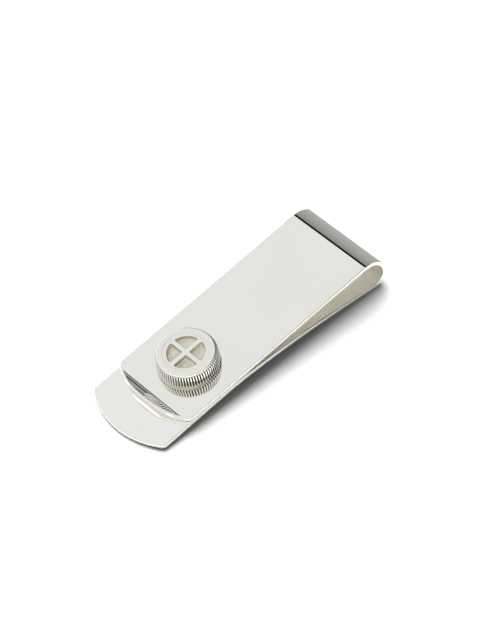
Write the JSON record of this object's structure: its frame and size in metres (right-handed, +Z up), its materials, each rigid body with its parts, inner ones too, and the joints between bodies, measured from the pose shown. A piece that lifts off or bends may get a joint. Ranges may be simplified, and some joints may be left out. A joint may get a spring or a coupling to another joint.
{
  "type": "money clip",
  "caption": "Spring money clip: a polished silver strip folded into two gripping leaves, with a curled lip, a rounded tongue and a reeded turning knob.",
  "frame": {"origin": "under the middle of the clip's length and width, on the surface that it rests on", "axes": "+X across the strip, +Y from the tongue towards the bend, +Z up from the surface"},
  "size_m": [0.018, 0.0556, 0.0075],
  "materials": {
    "polished_silver": "mirror-polished sterling silver sheet",
    "reeded_silver": "polished sterling silver with cut upright reeds",
    "satin_silver": "polished sterling silver with satin pocket floors"
  },
  "bodies": {
    "fixed_leaf": {"lower_leaf": "polished_silver", "spring_bend": "polished_silver"},
    "sprung_leaf": {"upper_leaf": "polished_silver", "knob_collar": "polished_silver", "knob_rivet": "polished_silver"},
    "knob_top": {"knob_cap": "reeded_silver", "knob_face": "satin_silver"}
  },
  "joints": [
    {"name": "leaf_flex", "type": "hinge", "parent": "fixed_leaf", "child": "sprung_leaf", "pos_m": [0, 0.0231, 0.0027], "axis": [-1, 0, 0], "range_deg": [0, 6], "stiffness_Nm_per_rad": 2.4, "springref_deg": -1.72, "deforming": ["spring_bend"]},
    {"name": "knob_turn", "type": "hinge", "parent": "sprung_leaf", "child": "knob_top", "pos_m": [0.00025, -0.01116, 0.00377], "axis": [0, -0.1063, 0.9943], "continuous": true}
  ]
}
